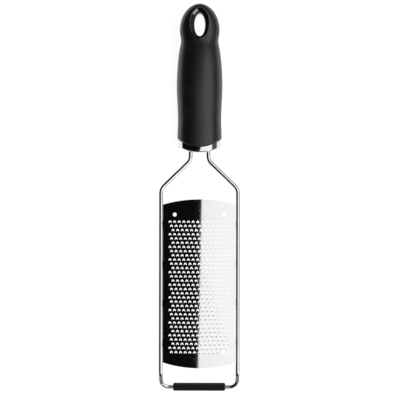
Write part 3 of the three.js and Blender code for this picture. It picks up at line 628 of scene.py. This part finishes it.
flat_half = [half - COLLAR_EDGE for half in COLLAR_HALF]
collar_rings = [section(flat_half[0] * step / 10, flat_half[1] * step / 10, underside(0))
                for step in range(1, 10)]
for turn in rounding:
    out, rise = COLLAR_EDGE * math.sin(turn), COLLAR_EDGE * (1 - math.cos(turn))
    collar_rings.append(section(flat_half[0] + out, flat_half[1] + out, underside(rise)))
seat_half = [half - CORE_INSET for half in COLLAR_HALF]
collar_rings += [section(*COLLAR_HALF, joint(-RIM_GAP - RIM_CHAMFER)),
                 section(*(half - RIM_CHAMFER for half in COLLAR_HALF), joint(-RIM_GAP)),
                 section(*seat_half, joint(-RIM_GAP)),
                 section(*seat_half, lambda x: COLLAR_FLOOR)]
tang_bores = [loft([[(side * TANG_AXIS + TANG_BORE * math.cos(turn * math.pi / 16), level,
                      TANG_BORE * math.sin(turn * math.pi / 16)) for turn in range(32)]
                    for level in (COLLAR_TIP - BORE_OVERRUN, COLLAR_FLOOR + BORE_OVERRUN)])
              for side in (-1, 1)]
steel_collar = lay("steel_collar", trimmed(loft(collar_rings), *tang_bores), buffed_cap)
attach(steel_collar, "root")
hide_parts("collar")


# Grip
# A soft-touch elastomer skin moulded over the core, with a swelling barrel and a looped head.
# A shallow dip parts the two, and the lower edge is a rounded lip that overhangs the collar.
BARREL = ((205.894, 18.05, 13.8), (221.694, 17.6, 13.8), (250.994, 18.6, 14.99), (271.894, 17.3, 13.25),
          (286.094, 14.95, 9.95))
HEAD_MIDDLE, HEAD_REACH = 294.194, 21.28
HEAD_HALF = (16.15, 10.0)
HEAD_EDGE_POWER = 4
DIP_BLEND = 1.2
GRIP_WALL = 2.5
GRIP_LIP = 0.8
FIRST_LEVEL, LEAD_STEPS, HEAD_STEPS = 213.5, 8, 30
LEAST_HALF, TIP_GAP = 0.01, 1e-4
HOLE_MIDDLE = 297.994
WAIST_HALF, RIM_HALF = Vector((3.95, 8.9)), Vector((6.9, 11.8))
RIM_LEVEL, RIM_RISE = 9.2, 1.5
FLARE_POWER = 3
LINER_WALL = 1.2
SEAT_REACH, SEAT_SIDES = 13, 72

soft_touch = surface(
    "soft_touch", moulded_skin,
    {"Grain Scale": 4500.0, "Fresh": (0.007, 0.007, 0.0078, 1), "Scuffed": (0.011, 0.011, 0.0121, 1),
     "Roughness": 0.36, "Scuff Polish": 0.06},
    relief=(0.25, 0.03), Specular_IOR_Level=0.82)


def barrel_half(y, which):
    """The barrel's half width or half depth, on a smooth curve through its measured sections."""
    levels = [entry[0] for entry in BARREL]
    sizes = [entry[which] for entry in BARREL]
    steps = [(b - a) / (q - p) for a, b, p, q in zip(sizes, sizes[1:], levels, levels[1:])]
    slopes = [0.0, *((a + b) / 2 for a, b in zip(steps, steps[1:])), steps[-1]]
    if y >= levels[-1]:
        return sizes[-1] + slopes[-1] * (y - levels[-1])
    if y <= levels[0]:
        return sizes[0]
    left = max(i for i, level in enumerate(levels) if level <= y)
    length = levels[left + 1] - levels[left]
    t = (y - levels[left]) / length
    return ((1 + 2 * t) * (1 - t) ** 2 * sizes[left] + t * (1 - t) ** 2 * length * slopes[left]
            + t * t * (3 - 2 * t) * sizes[left + 1] + t * t * (t - 1) * length * slopes[left + 1])


def blended(a, b):
    overlap = max(DIP_BLEND - abs(a - b), 0) / DIP_BLEND
    return max(a, b) + overlap ** 2 * DIP_BLEND / 4


def handle_half(y):
    """Half width and half depth of the handle at a level, barrel and head run together at the dip."""
    share = min(abs(y - HEAD_MIDDLE) / HEAD_REACH, 1)
    head = (HEAD_HALF[0] * (1 - share ** 2) ** 0.5,
            HEAD_HALF[1] * (1 - share ** HEAD_EDGE_POWER) ** (1 / HEAD_EDGE_POWER))
    return [max(blended(barrel_half(y, which + 1), head[which]) if y < HEAD_MIDDLE else head[which], 0)
            for which in (0, 1)]


def skin_rings(inset, from_level):
    """Rings up the handle from a level to the tip of its head, drawn in by an inset."""
    levels = [from_level + step for step in range(int(HEAD_MIDDLE - from_level))]
    levels += [HEAD_MIDDLE + (HEAD_REACH - TIP_GAP) * math.sin(math.radians(90 * step / HEAD_STEPS))
               for step in range(HEAD_STEPS + 1)]
    rings = []
    for level in levels:
        half = handle_half(level)
        drop = inset * max(level - HEAD_MIDDLE, 0) / HEAD_REACH
        inner = [max(size - inset, LEAST_HALF) for size in half]
        rings.append(section(*inner, lambda x: level - drop))
    return rings


def hole_edge(z, turn, outset):
    """The hole's edge at a depth and in a direction from its middle, widened by an outset."""
    flare = abs(z / RIM_LEVEL) ** FLARE_POWER
    half = WAIST_HALF.lerp(RIM_HALF, flare)
    return Vector(((half.x + outset) * math.cos(turn),
                   HOLE_MIDDLE + RIM_RISE * flare + (half.y + outset) * math.sin(turn), z))


end_half = (BARREL[0][1], BARREL[0][2])
wall_half = [half - GRIP_WALL for half in end_half]
grip_lip = [(end_half[0] - GRIP_LIP * (1 - math.sin(turn)), end_half[1] - GRIP_LIP * (1 - math.sin(turn)),
             GRIP_LIP * (1 - math.cos(turn))) for turn in rounding]
grip_rings = list(reversed(skin_rings(GRIP_WALL, FIRST_LEVEL)))
grip_rings.append(section(*wall_half, joint(0)))
grip_rings += [section(width, depth, joint(rise)) for width, depth, rise in grip_lip]
for step in range(1, LEAD_STEPS):
    share = step / LEAD_STEPS
    half = [a + (b - a) * share for a, b in zip(end_half, handle_half(FIRST_LEVEL))]
    edge = joint(GRIP_LIP)
    grip_rings.append(section(*half, lambda x: edge(x) + (FIRST_LEVEL - edge(x)) * share))
grip_rings += skin_rings(0, FIRST_LEVEL)
seat = loft([[hole_edge(z, 2 * math.pi * side / SEAT_SIDES, LINER_WALL) for side in range(SEAT_SIDES)]
             for z in range(-SEAT_REACH, SEAT_REACH + 1)])
soft_grip = lay("soft_grip", trimmed(loft(grip_rings), seat), soft_touch)
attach(soft_grip, "root")
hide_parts("grip")


# Liner of the hanging hole
# A hard gloss funnel of black plastic, open at both ends, that the grip was moulded round.
# It flares from a narrow waist to a low rounded lip on each face of the head.
LIP_WIDTH, LIP_PROUD = 0.8, 0.2
DISH_FALL, DISH_DEPTH, DISH_POWER = 2.2, 6.0, 8
LIP_STEPS, DISH_STEPS, BACK_STEPS = 8, 15, 6

gloss_funnel = surface(
    "gloss_funnel", moulded_skin,
    {"Grain Scale": 900.0, "Fresh": (0.006, 0.006, 0.006, 1), "Scuffed": (0.010, 0.010, 0.011, 1),
     "Roughness": 0.06, "Scuff Polish": 0.05},
    relief=(0.03, 0.02), Coat_Weight=1.0, Coat_IOR=1.7)


def face_level(x, y):
    """How far the head's face stands from the middle of the handle."""
    width, depth = handle_half(y)
    return depth * max(1 - (abs(x) / width) ** SECTION_POWER, 0) ** (1 / SECTION_POWER)


def funnel_edge(turn, outset):
    """Where the funnel, widened by an outset, meets the head's face in a direction from its middle."""
    z = RIM_LEVEL
    for _ in range(12):
        edge = hole_edge(z, turn, outset)
        z = face_level(edge.x, edge.y)
    return Vector((edge.x, edge.y, z))


# The dish falls evenly from the rim, and then plunges to the waist.
shares = [1 - (step / DISH_STEPS) ** 2 for step in range(DISH_STEPS)]
falls = [Vector((0, 0, DISH_FALL * share + (DISH_DEPTH - DISH_FALL) * share ** DISH_POWER))
         for share in shares]
funnel_rows = []
for side in range(SIDES):
    turn = 2 * math.pi * side / SIDES
    lip = [funnel_edge(turn, LINER_WALL - LIP_WIDTH * (1 - step / LIP_STEPS))
           + Vector((0, 0, LIP_PROUD * math.sin(math.pi * step / LIP_STEPS)))
           for step in range(LIP_STEPS + 1)]
    rim, outside = lip[0], lip[-1].z
    waist = Vector((WAIST_HALF.x * math.cos(turn), HOLE_MIDDLE + WAIST_HALF.y * math.sin(turn), rim.z))
    dish = [rim.lerp(waist, share) - fall for share, fall in zip(shares, falls)]
    back = [hole_edge(outside * (1 - step / BACK_STEPS), turn, LINER_WALL)
            for step in range(1, 2 * BACK_STEPS)]
    under = [Vector((point.x, point.y, -point.z)) for point in reversed(dish + lip)]
    funnel_rows.append(dish + lip + back + under)
hole_liner = lay("hole_liner", loft(funnel_rows, closed=True), gloss_funnel, crease=70)
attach(hole_liner, "root")
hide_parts("hang_hole_liner")


# Studio
# The grater lies on a white table in a dim room, with a large softbox above it to the right and a bright
# strip lamp in front of that. A grey wall stands beyond the foot, and a fill lamp that no gloss shows
# evens the light.
TABLE_HALF = 4.0
TABLE_WHITE, TABLE_TONE = 0.96, (0.16, 0.16, 0.16, 1)
ROOM_LEFT, ROOM_RIGHT, ROOM_TURN = 0.004, 0.11, 0.9
SOFTBOX_PLACE, SOFTBOX_TURN = (1.122, 0.075, 1.8), math.radians(-16.5)
STRIP_PLACE, STRIP_TURN = (1.27, -0.69, 1.0), math.radians(24.7)
scene = bpy.context.scene
scene.view_settings.view_transform = "Standard"

table_mesh = bpy.data.meshes.new("table")
table_corners = [(x * TABLE_HALF, y * TABLE_HALF, 0) for x, y in ((-1, -1), (1, -1), (1, 1), (-1, 1))]
table_mesh.from_pydata(table_corners, [], [(0, 1, 2, 3)])
table = bpy.data.objects.new("table", table_mesh)
scene.collection.objects.link(table)
table_white = bpy.data.materials.new("table_white")
table_white.use_nodes = True
tree = table_white.node_tree
path = add(tree, "ShaderNodeLightPath").outputs
mirrored = reckon(tree, "MAXIMUM", path["Is Glossy Ray"], path["Is Transmission Ray"])
seen = reckon(tree, "MULTIPLY", reckon(tree, "MAXIMUM", path["Is Camera Ray"], mirrored), TABLE_WHITE)
paint = tree.nodes["Principled BSDF"]
paint.inputs["Base Color"].default_value = TABLE_TONE
paint.inputs["Roughness"].default_value = 1.0
paint.inputs["Specular IOR Level"].default_value = 0.0
paint.inputs["Emission Color"].default_value = (1, 1, 1, 1)
tree.links.new(seen.outputs[0], paint.inputs["Emission Strength"])
table_mesh.materials.append(table_white)

world = bpy.data.worlds.new("dim_room")
scene.world = world
world.use_nodes = True
tree = world.node_tree
heading = add(tree, "ShaderNodeSeparateXYZ", {0: add(tree, "ShaderNodeTexCoord")})
sideways = add(tree, "ShaderNodeMapRange",
               {"Value": heading.outputs["X"], "From Min": 0.0, "From Max": ROOM_TURN,
                "To Min": ROOM_LEFT, "To Max": ROOM_RIGHT},
               interpolation_type="SMOOTHSTEP")
tree.links.new(sideways.outputs[0], tree.nodes["Background"].inputs["Color"])


def panel(name, size, radiance, place, aim, in_gloss=True):
    """A flat lamp of an even brightness, turned to face a point and unseen by the camera."""
    lamp = bpy.data.lights.new(name, "AREA")
    lamp.shape = "RECTANGLE"
    lamp.size, lamp.size_y = size
    lamp.energy = radiance * math.pi * size[0] * size[1]
    holder = bpy.data.objects.new(name, lamp)
    scene.collection.objects.link(holder)
    holder.location = place
    holder.rotation_euler = (Vector(place) - Vector(aim)).to_track_quat("Z", "Y").to_euler()
    holder.visible_camera, holder.visible_glossy = False, in_gloss
    return holder


softbox = panel("softbox", (1.95, 2.4), 1.1, SOFTBOX_PLACE, (*SOFTBOX_PLACE[:2], 0.0))
softbox.rotation_euler.z = SOFTBOX_TURN
panel("fill", (1.6, 1.6), 4.0, (1.2, -0.4, 1.9), (0.0, 0.0, 0.0), in_gloss=False)
strip = panel("strip", (1.3, 0.3), 3.3, STRIP_PLACE, (*STRIP_PLACE[:2], 0.0))
strip.rotation_euler.z = STRIP_TURN
panel("grey_wall", (0.9, 0.28), 0.17, (0.0, -0.5, 0.14), (0.0, 0.0, 0.14))

# Camera: square to the plane of the wire, and a hair out of true with it.
CAMERA_PLACE, CAMERA_TURN = (0.45, 156.294, 1200.0), math.radians(0.1)
FOCAL_LENGTH = 133.03
lens = bpy.data.cameras.new("camera")
lens.lens = FOCAL_LENGTH
camera = bpy.data.objects.new("camera", lens)
scene.collection.objects.link(camera)
camera.matrix_world = (Matrix.Translation(LAID @ Vector(CAMERA_PLACE)) @ Matrix.Rotation(lean, 4, "X")
                       @ Matrix.Rotation(CAMERA_TURN, 4, "Z"))
scene.camera = camera
